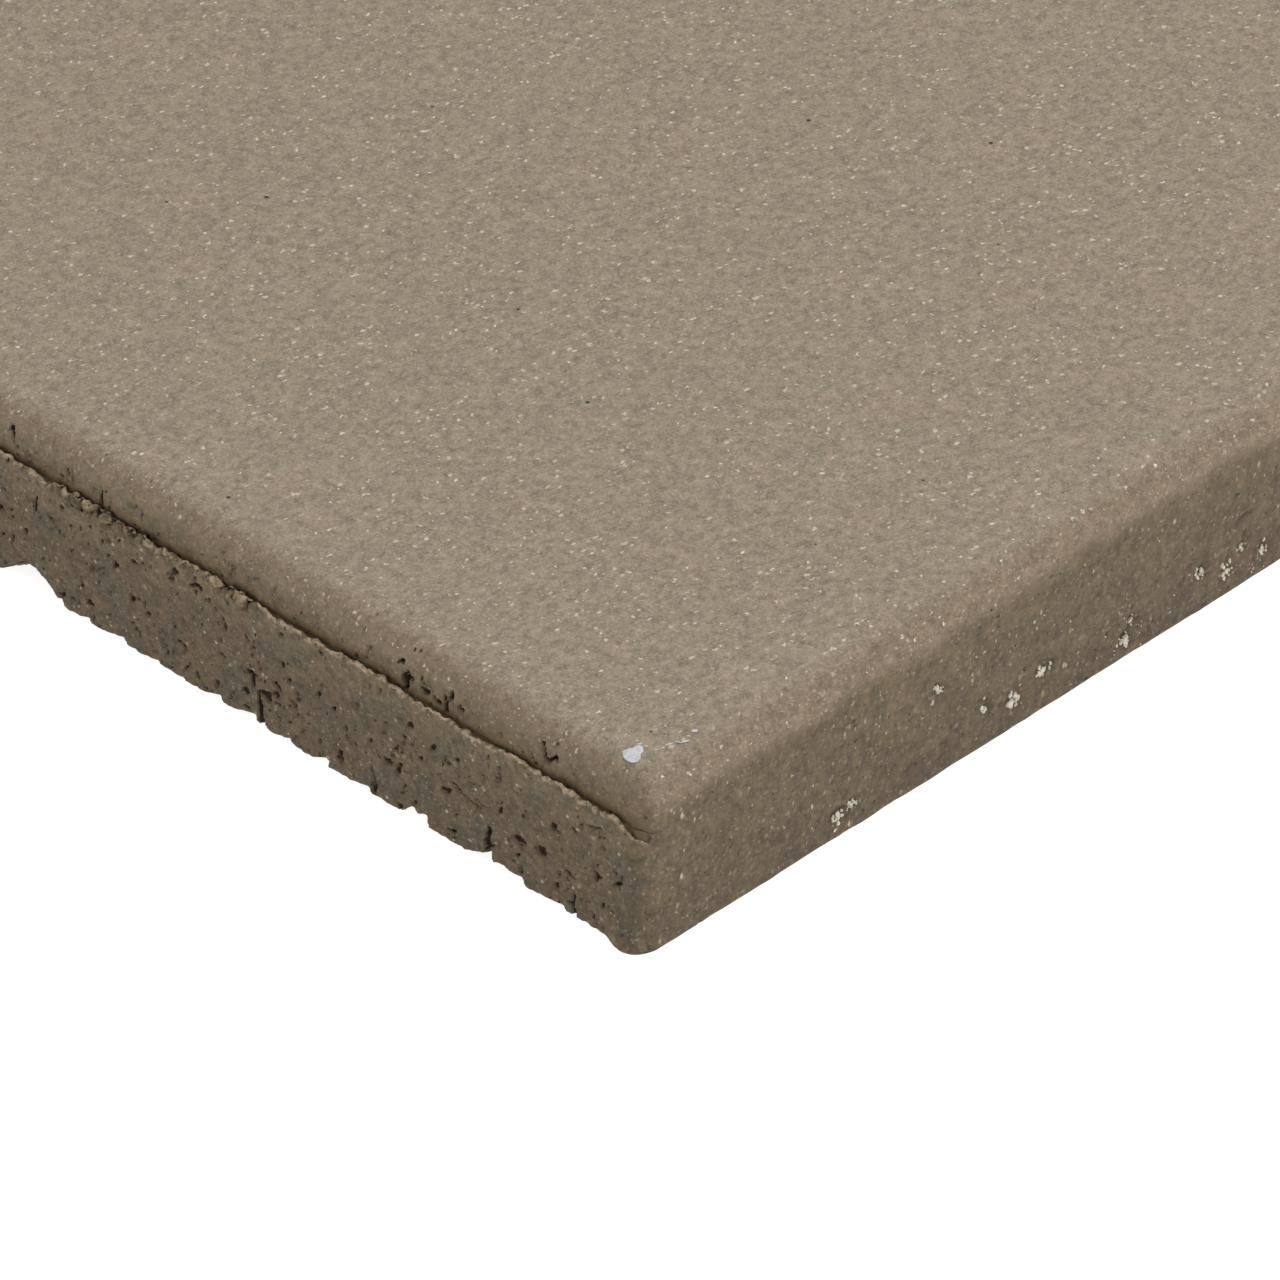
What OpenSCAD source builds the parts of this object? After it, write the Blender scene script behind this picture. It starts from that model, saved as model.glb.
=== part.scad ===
// Pressed concrete paving slab: a fine face layer on a coarser core, with white stone chips in both.
// The origin is the middle of the bed face, +Z up. The sides at -X and +X are formed against the
// mould. The sides at -Y and +Y are cut, and there the core stands out past the face layer.

/* [Slab] */
// Length between the formed sides
slab_l = 400; // [200:1:600]
// Width between the cut sides, across the core
slab_w = 400; // [200:1:600]
// Radius of the upright corners in plan
corner_r = 4; // [3:0.5:12]

/* [Core layer] */
// Thickness of the core layer
core_t = 28.5; // [24:0.5:60]
// How far the core stands out past the face layer on the cut sides
core_step = 1.2; // [0.8:0.1:3]
// Radius of the lower arris on the formed sides
arris_r = 0.5; // [0.2:0.1:2]

/* [Burr] */
// Height of the burr that the cut leaves along the top of the core
burr_h = 0.8; // [0.3:0.1:2]
// Thickness of the burr, which is kept narrower than the core's step
burr_t = 0.6; // [0.3:0.1:0.6]
// Distance from each end of the burr to the round corner
burr_end = 2; // [0:0.5:20]

/* [Face layer] */
// Thickness of the face layer
face_t = 11.5; // [8:0.5:20]
// Radius of the rounding around the wearing face, kept within the face layer
edge_r = 7.5; // [3:0.5:7.5]

/* [Chips] */
// Depth of the pit that each exposed chip lies in
pit_depth = 0.3; // [0.1:0.1:0.5]
// Radius of the chip in the wearing face
face_chip_r = 2.4; // [1.5:0.1:3]
// Distance of that chip from the formed side
face_chip_x = 10.7; // [8:0.1:20]
// Distance of that chip from the cut side
face_chip_y = 7.7; // [7:0.1:20]

/* [Hidden] */
$fn = 96;
slab_t = core_t + face_t;
face_w = slab_w - 2 * core_step;
rounding_r = min(edge_r, face_t - 0.5);
burr_l = slab_l - 2 * corner_r - 2 * burr_end;
past = 1; // how far a cutting body runs past the faces that it cuts
// Chips in a formed side: distance from the cut side, height above the bed face, radius
side_chips = [
    [54, 4.6, 2.0],
    [58, 6.0, 1.2],
    [82, 21.0, 1.4],
    [96, 9.0, 1.3],
    [104, 7.0, 2.2],
    [113, 9.6, 1.8],
    [137, 4.6, 1.5],
    [139, 8.4, 1.0],
    [160, 9.2, 1.6],
    [168, 5.5, 1.8],
    [172, 9.5, 1.2],
    [179, 5.7, 1.4]
];

// Outline of a layer in plan, with round corners
module plan(l, w) {
    square([l - 2 * corner_r, w], center = true);
    square([l, w - 2 * corner_r], center = true);
    for (x = [-1, 1], y = [-1, 1])
        translate([x * (l / 2 - corner_r), y * (w / 2 - corner_r)])
            circle(corner_r);
}

// Section of a layer that is round along its two upper edges, from its lower face up
module round_top_section(w, h, r) {
    translate([-w / 2, 0])
        square([w, h - r]);
    translate([r - w / 2, 0])
        square([w - 2 * r, h]);
    for (x = [-1, 1])
        translate([x * (w / 2 - r), h - r])
            circle(r);
}

// A section drawn in X and Z, run along Y and centred
module run_along_y(l) {
    translate([0, l / 2, 0])
        rotate([90, 0, 0])
            linear_extrude(l)
                children();
}

// The core before its pits are cut: its lower arris is round on the formed sides only
module core_block() {
    intersection() {
        linear_extrude(core_t)
            plan(slab_l, slab_w);
        translate([0, 0, core_t])
            mirror([0, 0, 1])
                run_along_y(slab_w + 2 * past)
                    round_top_section(slab_l, core_t, arris_r);
    }
}

// The burr stands on the outer edge of the core, clear of the face layer
module burrs() {
    for (y = [-1, 1])
        translate([0, y * (slab_w - burr_t) / 2, core_t + burr_h / 2])
            cube([burr_l, burr_t, burr_h], center = true);
}

// The face layer before its pit is cut, round along all four upper edges
module face_block() {
    translate([0, 0, core_t])
        intersection() {
            linear_extrude(face_t)
                plan(slab_l, face_w);
            run_along_y(slab_w + 2 * past)
                round_top_section(slab_l, face_t, rounding_r);
            rotate([0, 0, 90])
                run_along_y(slab_l + 2 * past)
                    round_top_section(face_w, face_t, rounding_r);
        }
}

// Round bodies of the chips in both formed sides, each centred on the face that it shows in
module side_chip_bodies() {
    for (side = [0, 180], chip = side_chips)
        rotate([0, 0, side])
            translate([slab_l / 2, chip[0] - slab_w / 2, chip[1]])
                sphere(chip[2]);
}

module face_chip_body() {
    translate([slab_l / 2 - face_chip_x, face_chip_y - slab_w / 2, slab_t])
        sphere(face_chip_r);
}

module core_layer() {
    color([0.40, 0.35, 0.29])
        difference() {
            union() {
                core_block();
                burrs();
            }
            side_chip_bodies();
        }
}

module face_layer() {
    color([0.60, 0.55, 0.49])
        difference() {
            face_block();
            face_chip_body();
        }
}

module core_chips() {
    color([0.80, 0.80, 0.75])
        intersection() {
            side_chip_bodies();
            translate([0, 0, slab_t / 2])
                cube([slab_l - 2 * pit_depth, slab_w, slab_t], center = true);
        }
}

module face_chip() {
    color([0.92, 0.92, 0.90])
        intersection() {
            face_chip_body();
            translate([0, 0, -pit_depth])
                face_block();
        }
}

core_layer();
face_layer();
core_chips();
face_chip();
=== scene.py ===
import math
from itertools import product
import bmesh
import bpy
import numpy as np
from mathutils import Matrix, Vector


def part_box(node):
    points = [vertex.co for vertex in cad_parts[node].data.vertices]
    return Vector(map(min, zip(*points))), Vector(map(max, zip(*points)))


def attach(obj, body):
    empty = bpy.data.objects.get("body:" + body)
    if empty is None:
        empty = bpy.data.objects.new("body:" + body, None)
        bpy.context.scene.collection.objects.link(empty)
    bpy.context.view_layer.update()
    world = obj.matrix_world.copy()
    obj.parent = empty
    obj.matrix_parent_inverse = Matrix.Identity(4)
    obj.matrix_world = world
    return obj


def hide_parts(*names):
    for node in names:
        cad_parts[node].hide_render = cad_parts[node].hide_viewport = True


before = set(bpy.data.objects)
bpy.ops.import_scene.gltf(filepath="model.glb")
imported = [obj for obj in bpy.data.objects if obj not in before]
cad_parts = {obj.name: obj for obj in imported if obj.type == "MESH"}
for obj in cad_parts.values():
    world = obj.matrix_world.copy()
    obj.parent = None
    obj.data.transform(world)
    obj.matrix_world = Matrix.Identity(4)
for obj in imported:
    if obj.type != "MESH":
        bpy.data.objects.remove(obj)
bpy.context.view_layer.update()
mm = 0.001

# The slab's sizes in millimetres, read off the solids
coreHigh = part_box("core_layer")[1]
faceLow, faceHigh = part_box("face_layer")
chipLow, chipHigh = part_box("face_chip")
slab = {
    "halfX": coreHigh.x / mm,
    "halfY": coreHigh.y / mm,
    "coreTop": faceLow.z / mm,
    "top": faceHigh.z / mm,
    "step": (coreHigh.y - faceHigh.y) / mm,  # the core stands out this far on the cut sides
    "cornerRadius": 4.0,
    "edgeRadius": 7.5,
}
print("slab sizes in mm:", {k: round(v, 2) for k, v in slab.items()})


def chance(cells, seed):
    # one number from 0 to 1 for each whole-number place, the same on every run
    c = cells.astype(np.int64).astype(np.uint64)
    h = np.uint64(seed * 7919 + 13)
    for axis, factor in enumerate((0x9E3779B97F4A7C15, 0xC2B2AE3D27D4EB4F, 0x165667B19E3779F9)):
        h = h + c[..., axis] * np.uint64(factor)
    for shift, factor in ((29, 0xBF58476D1CE4E5B9), (32, 0x94D049BB133111EB)):
        h = (h ^ (h >> np.uint64(shift))) * np.uint64(factor)
    return (h >> np.uint64(11)).astype(np.float64) / 2.0**53


def lumps(points, size, seed):
    # smooth noise from -1 to 1 with lumps about size across
    p = points / size + 31.7 * seed
    base = np.floor(p)
    f = p - base
    f = f * f * (3 - 2 * f)
    total = np.zeros(points.shape[:-1])
    for dx, dy, dz in product((0, 1), repeat=3):
        share = f[..., 0] if dx else 1 - f[..., 0]
        share = share * (f[..., 1] if dy else 1 - f[..., 1])
        share = share * (f[..., 2] if dz else 1 - f[..., 2])
        total += share * chance(base + np.array([dx, dy, dz]), seed)
    return total * 2 - 1


def waves(points, layers):
    # several sizes of that noise together. A layer is: height, size, seed
    return sum(height * lumps(points, size, seed) for height, size, seed in layers)


def scallops(along, size, seed):
    # 0 in the middle of each lobe and 1 at the notch between two lobes
    p = along / size
    base = np.floor(p)
    nearest = np.full(along.shape, 9.0)
    for step in (-1, 0, 1):
        cell = np.stack([base + step, np.zeros_like(base), np.zeros_like(base)], -1)
        centre = base + step + 0.15 + 0.7 * chance(cell, seed)
        nearest = np.minimum(nearest, np.abs(p - centre))
    return np.clip(nearest / 0.75, 0, 1) ** 2


def flakes(points, size, seed):
    # flat-topped chips: each one's height from -1 to 1, and how far a point is from its chip's rim
    p = points / size
    base = np.floor(p)
    nearest = np.full(points.shape[:-1], 9.0)
    second = nearest.copy()
    height = np.zeros(points.shape[:-1])
    for dx, dy, dz in product((-1, 0, 1), repeat=3):
        cell = base + np.array([dx, dy, dz])
        jitter = np.stack([chance(cell, seed + k) for k in range(3)], -1)
        d = np.sqrt(((p - cell - 0.1 - 0.8 * jitter) ** 2).sum(-1))
        closer = d < nearest
        second = np.where(closer, nearest, np.minimum(second, d))
        height = np.where(closer, chance(cell, seed + 3) * 2 - 1, height)
        nearest = np.where(closer, d, nearest)
    return height, second - nearest


def eased(x):
    x = np.clip(x, 0, 1)
    return x * x * (3 - 2 * x)


# Both layers share one row of stations round the slab. Spacing of the stations in mm:
outlineValues = {
    "nearCut": 0.36,  # on the front cut side, from the middle to the near corner
    "farCut": 1.1,
    "nearFormed": 0.75,
    "farFormed": 1.4,
    "corner": 0.42,
    "farCorner": 1.2,
}
innerHalf = slab["halfX"] - slab["cornerRadius"]
cornerArc = slab["cornerRadius"] * math.pi / 2


def spaced(start, end, step):
    count = max(2, round(abs(end - start) / step))
    return list(np.linspace(start, end, count, endpoint=False))


def makeStations():
    # Each station: place on the inner rectangle from -1 to 1, outward direction, side, place along the side
    v = outlineValues
    corners = [(1, -1), (1, 1), (-1, 1), (-1, -1)]
    steps = [  # per side: spacing of its first half, of its second half, and of the corner after it
        (v["farCut"], v["nearCut"], v["corner"]),
        (v["nearFormed"], v["farFormed"], v["farCorner"]),
        (v["farCut"], v["farCut"], v["farCorner"]),
        (v["farFormed"], v["farFormed"], v["farCorner"]),
    ]
    rows = []
    for side, (first, second, atCorner) in enumerate(steps):
        turn = math.radians(90 * side - 90)  # outward direction of the side
        ahead = (-math.sin(turn), math.cos(turn))
        out = (math.cos(turn), math.sin(turn))
        for a in spaced(-innerHalf, 0, first) + spaced(0, innerHalf, second):
            t = a / innerHalf
            rows.append((ahead[0] * t + out[0], ahead[1] * t + out[1], out[0], out[1], side, a))
        for a in spaced(0, cornerArc, atCorner):
            angle = turn + a / slab["cornerRadius"]
            rows.append((*corners[side], math.cos(angle), math.sin(angle), side, innerHalf + a))
    return np.array(rows)


stations = makeStations()
inner, outward = stations[:, 0:2], stations[:, 2:4]
sideOf, alongOf = stations[:, 4].astype(int), stations[:, 5]
sideEnd = innerHalf + slab["cornerRadius"]
fromCorner = sideEnd - alongOf  # distance from the corner that ends the side
onCutSide = (sideOf == 0) | (sideOf == 2)
everywhere = np.zeros(len(stations))
print("stations round the slab:", len(stations))


def cutness():
    # 1 on the cut sides, 0 on the formed sides, easing to 0 just past the ends of a cut side
    cut = np.zeros(len(stations))
    cut[onCutSide] = 1 - eased((alongOf[onCutSide] - innerHalf - 2.2) / 3.2)
    before = ~onCutSide & (alongOf > innerHalf)
    cut[before] = 1 - eased((innerHalf + cornerArc - alongOf[before] - 2.2) / 3.2)
    return cut


cut = cutness()


def alongSides(distance, apart):
    # places on a line along each side, the sides far apart, for noise that runs round the slab
    return np.stack([distance, sideOf * apart, np.zeros_like(distance)], 1)


flat = alongSides(alongOf, 500.0)


def ring(inset, height):
    # One ring of points round the slab, set in from the core's outline
    inset = np.broadcast_to(np.asarray(inset, float), (len(stations),))
    height = np.broadcast_to(np.asarray(height, float), (len(stations),))
    rho = np.maximum(slab["cornerRadius"] - 0.6 * inset, 1.5)
    x = inner[:, 0] * (slab["halfX"] - inset - rho) + rho * outward[:, 0]
    y = inner[:, 1] * (slab["halfY"] - inset - rho) + rho * outward[:, 1]
    return np.stack([x, y, height], 1)


def raggedness(rings, seed):
    return 0.6 * lumps(rings, 1.3, seed) + 0.5 * lumps(rings, 0.65, seed + 1)


def carve(push, rings, side, marks, ragged):
    # push holds how far each point goes in.
    # A mark is: place along the side, height, half-width, half-height, lean in degrees, depth
    for along, height, wide, tall, lean, deep in marks:
        reach = max(wide, tall) * 1.5
        near = np.where((sideOf == side) & (np.abs(alongOf - along) < reach))[0]
        if len(near) == 0:
            continue
        da = alongOf[near][None, :] - along
        dz = rings[:, near, 2] - height
        c, s = math.cos(math.radians(lean)), math.sin(math.radians(lean))
        r = ((da * c + dz * s) / wide) ** 2 + ((dz * c - da * s) / tall) ** 2
        r = r * (1 + 1.3 * ragged[:, near])
        push[:, near] = np.maximum(push[:, near], deep * np.clip(1 - r, 0, 1) ** 0.5)


def openCracks(push, rings, side, cracks, ragged):
    # upright cracks that open towards the bed. A crack is: place, top, width at the foot, lean, depth
    for along, top, wide, lean, deep in cracks:
        near = np.where((sideOf == side) & (np.abs(alongOf - along) < wide + 4))[0]
        z = rings[:, near, 2]
        middle = along + lean * (z - top) / top + 0.12 * ragged[:, near] * wide
        half = 0.5 * wide * np.clip(1 - z / top, 0, 1) + 0.2
        inside = np.clip(1 - np.abs(alongOf[near][None, :] - middle) / half, 0, 1) ** 0.5
        inside = inside * np.clip((top - z) / (0.15 * top), 0, 1)
        push[:, near] = np.maximum(push[:, near], deep * inside)


def scattered(seed, spread):
    # chance marks along a side, more of them low down where lowBias is over 1
    rng = np.random.default_rng(seed)
    alongLow, alongHigh = spread["along"]
    zLow, zHigh = spread["heights"]
    wideLow, wideHigh = spread["halfWidth"]
    deepLow, deepHigh = spread["depth"]
    marks = []
    for along, h, size, deep, lean, drawn in rng.random((spread["count"], 6)):
        wide = wideLow + (wideHigh - wideLow) * size**2
        tall = wide * (1 + (spread["stretch"] - 1) * drawn)
        place = alongLow + (alongHigh - alongLow) * along
        height = zLow + (zHigh - zLow) * h ** spread["lowBias"]
        depth = deepLow + (deepHigh - deepLow) * deep * size
        marks.append((place, height, wide, tall, lean * 180 - 90, depth))
    return marks


class Skin:
    # rings of points joined into a closed skin. Patch 0 is the side, 1 a lid that shows, 2 a hidden lid
    def __init__(self):
        self.points, self.faces, self.patches, self.count = [], [], [], 0

    def add(self, points):
        self.points.append(points)
        self.count += len(points)
        return np.arange(self.count - len(points), self.count)

    def keep(self, faces, patch):
        self.faces.extend(faces)
        self.patches.extend([patch] * len(faces))

    def band(self, rows, patch):
        # quads between closed rings of the same length
        for low, high in zip(rows[:-1], rows[1:]):
            a, b = np.roll(low, -1), np.roll(high, -1)
            self.keep(np.stack([low, a, b, high], 1).tolist(), patch)

    def stitch(self, outer, innerRing, patch, upward):
        # triangles between two closed rings of different lengths, both counted the same way round
        pts = np.concatenate(self.points)
        middle = pts[outer][:, :2].mean(0)

        def turned(loop):
            d = pts[loop][:, :2] - middle
            angle = np.unwrap(np.arctan2(d[:, 1], d[:, 0]))
            loop = np.roll(loop, -np.argmin(np.mod(angle, 2 * math.pi)))
            d = pts[loop][:, :2] - middle
            angle = np.mod(np.arctan2(d[:, 1], d[:, 0]), 2 * math.pi)
            angle[0] = min(angle[0], 0.01)
            return loop, np.append(np.maximum.accumulate(angle), 2 * math.pi + 0.005)

        a, angleA = turned(outer)
        b, angleB = turned(innerRing)
        i = j = 0
        made = []
        while i < len(a) or j < len(b):
            pa, pb = int(a[i % len(a)]), int(b[j % len(b)])
            if j >= len(b) or (i < len(a) and angleA[i + 1] <= angleB[j + 1]):
                made.append([pa, int(a[(i + 1) % len(a)]), pb])
                i += 1
            else:
                made.append([pa, int(b[(j + 1) % len(b)]), pb])
                j += 1
        self.keep(made if upward else [f[::-1] for f in made], patch)

    def lid(self, outer, margin, step, height, patch, upward, shape=None):
        # a flat or gently swelling grid that closes a ring
        pts = np.concatenate(self.points)[outer]
        halfX, halfY = np.abs(pts[:, 0]).max() - margin, np.abs(pts[:, 1]).max() - margin
        nx, ny = max(2, round(2 * halfX / step)), max(2, round(2 * halfY / step))
        gx, gy = np.linspace(-halfX, halfX, nx + 1), np.linspace(-halfY, halfY, ny + 1)
        grid = np.stack(np.meshgrid(gx, gy), -1).reshape(-1, 2)
        points = np.column_stack([grid, np.full(len(grid), height)])
        if shape is not None:
            points = shape(points)
        index = self.add(points).reshape(ny + 1, nx + 1)
        quads = np.stack([index[:-1, :-1], index[:-1, 1:], index[1:, 1:], index[1:, :-1]], -1).reshape(-1, 4)
        edge = np.concatenate([index[0, :-1], index[:-1, -1], index[-1, :0:-1], index[:0:-1, 0]])
        self.keep((quads if upward else quads[:, ::-1]).tolist(), patch)
        self.stitch(outer, edge, patch, upward)


def isClosed(mesh):
    edges = np.empty(len(mesh.loops), np.int32)
    mesh.loops.foreach_get("edge_index", edges)
    return bool((np.bincount(edges, minlength=len(mesh.edges)) == 2).all())


def linkPiece(name, mesh, material):
    mesh.polygons.foreach_set("use_smooth", np.ones(len(mesh.polygons), bool))
    mesh.materials.append(material)
    piece = bpy.data.objects.new(name, mesh)
    bpy.context.scene.collection.objects.link(piece)
    return piece


def buildLayer(name, skin, attributes, material, mapping):
    points = np.concatenate(skin.points) * mm
    mesh = bpy.data.meshes.new(name)
    mesh.from_pydata(points.tolist(), [], skin.faces)
    mesh.update()
    for key, values in attributes.items():
        full = np.zeros(len(points), np.float32)
        full[: values.size] = values.ravel()
        mesh.attributes.new(key, "FLOAT", "POINT").data.foreach_set("value", full)
    mapping(mesh, points / mm, np.array(skin.patches))
    piece = linkPiece(name, mesh, material)
    mesh.set_sharp_from_angle(angle=math.radians(62))
    print(name, "has", len(mesh.polygons), "faces, closed:", isClosed(mesh))
    return piece


def sideMap(rowCount, bandHeight, lidSize, lidPlace):
    # A layout for the baked colours: four strips for the sides and a square for each lid
    def lay(mesh, points, patches):
        uv = mesh.uv_layers.new(name="OFBake")
        loopVertex = np.empty(len(mesh.loops), np.int32)
        mesh.loops.foreach_get("vertex_index", loopVertex)
        total = np.empty(len(mesh.polygons), np.int32)
        mesh.polygons.foreach_get("loop_total", total)
        face = np.repeat(np.arange(len(total)), total)
        patch = patches[face]
        place = points[loopVertex]
        out = np.zeros((len(loopVertex), 2))
        onLid, hidden, strip = patch >= 1, patch == 2, patch == 0
        span = 2 * slab["halfX"] + 4
        out[onLid] = np.array(lidPlace) + (place[onLid, :2] / span + 0.5) * lidSize
        out[hidden] = np.array([0.9, 0.9]) + (place[hidden, :2] / span + 0.5) * 0.08
        station = loopVertex[strip] % len(stations)
        row = loopVertex[strip] // len(stations)
        first = loopVertex[np.cumsum(total) - total] % len(stations)
        ownSide = sideOf[first][face[strip]]
        alongNow = alongOf[station].copy()
        alongNow[sideOf[station] != ownSide] = innerHalf + cornerArc
        u = 0.01 + (alongNow + innerHalf) / (2 * innerHalf + cornerArc) * 0.98
        v = row / (rowCount - 1) * bandHeight
        out[strip] = np.stack([u, 0.005 + ownSide * (bandHeight + 0.004) + v], 1)
        uv.uv.foreach_set("vector", out.astype(np.float32).ravel())

    return lay


coreValues = {
    "rows": 64,  # rows of points up its side
    "bottomInsets": [14, 9, 6, 4.4, 3.2, 2.3, 1.6, 1.1, 0.7, 0.35],
    "swell": ((0.26, 22, 21), (0.20, 7, 22)),  # how far the cut face swells: height, size, seed
    "flake": 0.22,  # height of the torn flakes on it
    "grain": 0.10,
    "formedRelief": 0.07,
    "burrHeight": 0.95,
    "burrWaves": ((0.40, 14, 3), (0.34, 5.2, 4), (0.30, 2.2, 5), (0.24, 1.1, 6)),
    "burrRoll": ((0.05, -0.2), (0.16, -0.03), (0.36, 0.07), (0.62, 0.08), (0.9, -0.05), (1.1, -0.35)),
    "hookDrop": 2.7,  # at the near corner
    "arrisRadius": 0.5,
    "crumbSize": 3.0,  # of the crumbs along the burr
    "crumbRise": 1.55,
    "crumbReach": 3.4,  # how far down the cut face they hang
    "footSwell": 1.7,  # the foot of the cut side stands out beside the near corner
    "mostOut": 1.9,  # no point stands out further than this
    "burrRange": (-0.9, 1.9),  # lowest and highest that the burr gets, from the joint
    "burrLifts": ((20, 6, 0.45), (13, 4, -0.4)),  # distance from the near corner, half-length, height
    "crumbled": ((150, 18, 1.25), (113, 9, 1), (262, 20, 1)),  # the same, with a share in place of height
    "lobe": 3.2,  # length of the lobes of the burr
    "flakeSize": 5.0,
    "smallFlakeSize": 1.9,
}
arrisValues = {
    "least": 0.12,  # height of the break
    "most": 6,
    "base": 0.06,
    "scallopRise": 0.35,  # of the small scallops between its teeth
    "scallopLength": 3.4,
    "calm": 7.5,  # the breaks fade out this far before the corner
    "toothLength": (4, 7),  # of the chance teeth: the least, and the spread above it
    "toothHeight": (0.6, 2.6),
    "toothGap": (0.9, 0.4),  # from one to the next, as a share of its length
}
# Teeth of the broken lower arris on a cut side: distance from the near corner, height, length
arrisTeeth = [
    (15, 0.5, 5), (22, 1.2, 9), (33, 2.0, 9), (41.5, 3.6, 8), (59.5, 3.2, 9), (75.5, 1.6, 7), (87.5, 2.6, 5),
    (98, 1.5, 6), (107.8, 2.4, 9), (118, 1.8, 6), (128.5, 0.8, 4), (136, 0.9, 6), (146, 1.7, 8),
    (156.5, 1.4, 4), (164, 2.2, 6)]
# Larger bites out of it: distance from the near corner, height, half-width
arrisBites = [(38.5, 2.0, 4.0), (63.8, 2.7, 2.8), (174.4, 5.6, 9.0), (226, 3.0, 5.0), (305, 3.8, 6.0),
              (352, 2.4, 5.0)]
# Cracks that run up from it: distance from the near corner, top, width at the foot, lean, depth
bedCracks = [(42.3, 10.0, 2.3, 0.7, 2.8), (107.0, 9.0, 1.9, -0.8, 2.0), (176, 6.5, 1.5, 0.6, 1.6),
             (19, 6.0, 0.8, 0.3, 1.1), (231, 7.0, 1.3, 0.9, 1.5), (297, 9.0, 1.1, -0.6, 1.4),
             (343, 5.5, 1.6, 0.4, 1.5)]
# Pits and scratches in a cut side: distance from the near corner, height, half-width, half-height, lean,
# depth
cutMarks = [
    (47.0, 12.6, 3.4, 0.32, -14, 0.7), (50.5, 13.6, 2.6, 0.32, -28, 0.7), (54, 12.0, 1.2, 0.5, 20, 0.8),
    (45, 13.8, 2.6, 0.28, -10, 0.5), (12.5, 13.2, 1.7, 0.42, -12, 0.9), (20.5, 9.4, 2.0, 0.36, -18, 0.8),
    (34, 10.6, 1.4, 0.9, 0, 1.0), (28, 11.2, 1.1, 1.2, 30, 1.0), (24, 4.8, 0.9, 0.7, 20, 0.8),
    (61, 16.0, 0.9, 0.6, 10, 0.8), (58, 20.0, 0.6, 0.9, -20, 0.9), (70, 10.5, 1.0, 0.8, 0, 0.9),
    (108.5, 10.5, 0.6, 2.4, 6, 1.1), (105, 8.6, 1.6, 1.0, -24, 1.2), (111, 6.4, 1.2, 0.9, 0, 1.1),
    (101, 12.4, 1.9, 0.5, -30, 1.0), (97, 10.6, 1.4, 0.5, -34, 0.9), (98, 15.8, 0.8, 0.7, 0, 1.0),
    (148, 18.5, 0.9, 1.0, 20, 0.9), (183, 15.4, 1.1, 0.9, -30, 0.9), (186, 22.0, 0.9, 1.2, 0, 1.1),
    (152, 22.5, 0.5, 0.9, 10, 0.8), (164, 24.5, 0.8, 0.7, 0, 0.8), (139, 11.0, 1.1, 0.6, 0, 0.8)]
# Marks in a formed side: place along it, height, half-width, half-height, lean, depth
formedScars = [(-16.6, 8.2, 1.0, 1.4, 0, 0.35), (-27, 17.3, 2.4, 0.5, 6, 0.5)]
cutPits = {"count": 260, "along": (-192, 194), "heights": (1, 27), "halfWidth": (0.3, 0.75),
           "depth": (0.4, 1.1), "stretch": 1.8, "lowBias": 1.3}
cutNicks = {"count": 90, "along": (-192, 194), "heights": (1, 26), "halfWidth": (0.26, 0.36),
            "depth": (0.5, 1.1), "stretch": 6.0, "lowBias": 1.4}
formedPits = {"count": 170, "along": (-190, 190), "heights": (1, 28), "halfWidth": (0.4, 0.8),
              "depth": (0.15, 0.4), "stretch": 1.6, "lowBias": 1.3}
# Chips that show in the formed sides: distance from the cut side, height, radius
sideChips = [
    (54, 4.6, 2.0), (58, 6.0, 1.2), (82, 21.0, 1.4), (96, 9.0, 1.3), (104, 7.0, 2.2), (113, 9.6, 1.8),
    (137, 4.6, 1.5), (139, 8.4, 1.0), (160, 9.2, 1.6), (168, 5.5, 1.8), (172, 9.5, 1.2), (179, 5.7, 1.4)]
chipPits = [(d - slab["halfY"], z + 0.3 * r, r * 1.2, r * 1.35, 15, 0.55) for d, z, r in sideChips]


def fromNearCorner(marks):
    # the same marks, placed along a side
    return [(sideEnd - m[0], *m[1:]) for m in marks]


def crumbling():
    # 1 where the burr has crumbled
    stretches = coreValues["crumbled"]
    share = sum(eased(much - np.abs(fromCorner - place) / half) for place, half, much in stretches)
    return np.clip(share, 0, 1) * cut


def burrShare():
    # how crumbly the burr is, from 0 to 1
    calm = 1 - 0.8 * eased((alongOf - innerHalf + 14) / 8)
    return np.clip(0.32 + 0.45 * lumps(flat, 16, 9) + 0.9 * crumbling(), 0.1, 1) * calm


def hook():
    # how far the burr drops as it turns round the near corner
    drop = coreValues["hookDrop"] * eased((alongOf - innerHalf + 5.6) / 8.6)
    gone = 1 - eased((alongOf - innerHalf - 3.6) / 2.6)
    return drop * gone * onCutSide


def burrLine():
    # how far the burr stands above the joint between the layers, round the whole slab
    v = coreValues
    h = v["burrHeight"] + waves(flat, v["burrWaves"])
    for place, half, rise in v["burrLifts"]:
        h = h + rise * eased(1 - np.abs(fromCorner - place) / half)
    notches = scallops(alongOf + 40 * sideOf + 0.5 * lumps(flat, 1.5, 7), v["lobe"], 19)
    h = h + burrShare() * (0.55 - 1.5 * notches)
    return np.clip(h, *v["burrRange"]) * cut - hook()


def crumbs(rings):
    # how far the crumbs along the burr stand out, and how deep the gaps between them are
    v = coreValues
    share = burrShare()
    reach = v["crumbReach"] * (0.35 + 0.65 * share)
    fromTop = slab["coreTop"] + v["burrHeight"] - rings[..., 2]
    band = eased(1.15 - fromTop / reach) * share
    _, rim = flakes(rings + 0.5 * lumps(rings, 1.2, 121)[..., None], v["crumbSize"], 131)
    dome = eased(rim / 0.55)
    return band * v["crumbRise"] * (dome - 0.4), band * 1.15 * eased(1 - rim / 0.17)


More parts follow.
